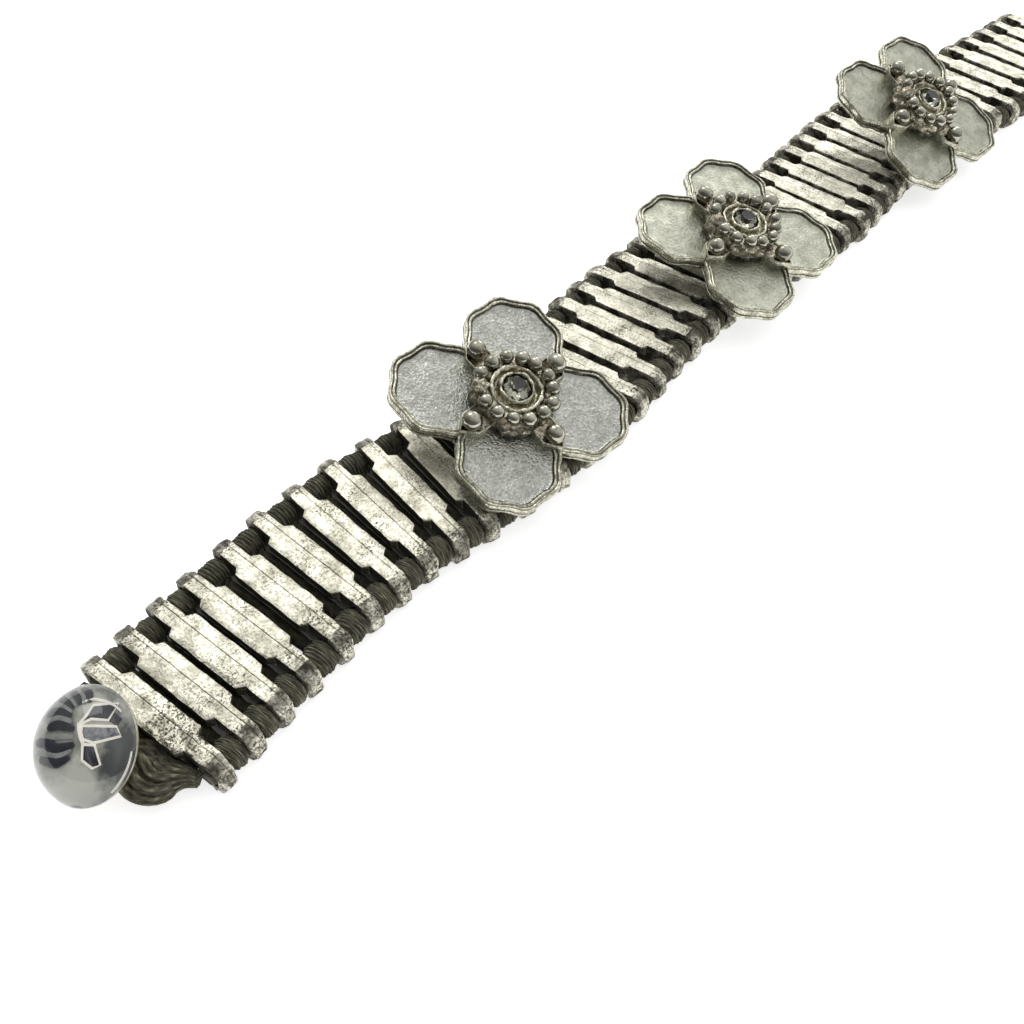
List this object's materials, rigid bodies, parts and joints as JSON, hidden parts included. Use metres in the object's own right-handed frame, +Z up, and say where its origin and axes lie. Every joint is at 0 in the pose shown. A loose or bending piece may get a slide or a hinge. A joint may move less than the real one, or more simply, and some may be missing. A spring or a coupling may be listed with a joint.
{
  "type": "bracelet",
  "caption": "Openwork bracelet of cast two-hole bars strung on twisted cords, with four-petal beaded flowers, a domed glass button and a cord closing loop.",
  "frame": {"origin": "centre of the part's bounding box, on the plane that it lies on", "axes": "+X along the strip from the button to the closing loop, +Y across the strip, +Z up through the flowers"},
  "size_m": [0.197, 0.023, 0.0126],
  "materials": {
    "cast_metal": "worn satin silver-toned casting",
    "flower_metal": "darkened silver-toned casting with brighter rims",
    "cord": "matt twisted grey-olive cord",
    "clear_glass": "polished clear grey glass",
    "crystal": "cut and polished"
  },
  "bodies": {
    "root": {"bar_01": "cast_metal", "bar_02": "cast_metal", "bar_03": "cast_metal", "bar_04": "cast_metal", "bar_05": "cast_metal", "bar_06": "cast_metal", "bar_07": "cast_metal", "bar_08": "cast_metal", "bar_09": "cast_metal", "bar_10": "cast_metal", "bar_11": "cast_metal", "bar_13": "cast_metal", "bar_14": "cast_metal", "bar_15": "cast_metal", "bar_16": "cast_metal", "bar_17": "cast_metal", "bar_18": "cast_metal", "bar_19": "cast_metal", "bar_20": "cast_metal", "bar_21": "cast_metal", "bar_23": "cast_metal", "bar_24": "cast_metal", "bar_25": "cast_metal", "bar_26": "cast_metal", "bar_27": "cast_metal", "bar_28": "cast_metal", "bar_29": "cast_metal", "bar_30": "cast_metal", "bar_31": "cast_metal", "bar_32": "cast_metal", "bar_34": "cast_metal", "bar_35": "cast_metal", "bar_36": "cast_metal", "bar_37": "cast_metal", "bar_38": "cast_metal", "bar_39": "cast_metal", "bar_40": "cast_metal", "bar_41": "cast_metal", "bar_42": "cast_metal", "bar_43": "cast_metal", "bar_44": "cast_metal", "flower_1": "flower_metal", "crystal_1": "crystal", "flower_2": "flower_metal", "crystal_2": "crystal", "flower_3": "flower_metal", "crystal_3": "crystal", "edge_cord_left": "cord", "edge_cord_right": "cord", "cross_cords": "cord", "button_cord": "cord", "loop_cord": "cord", "loop_knot": "cord", "button_dome": "clear_glass", "button_shank": "cast_metal"}
  },
  "joints": []
}
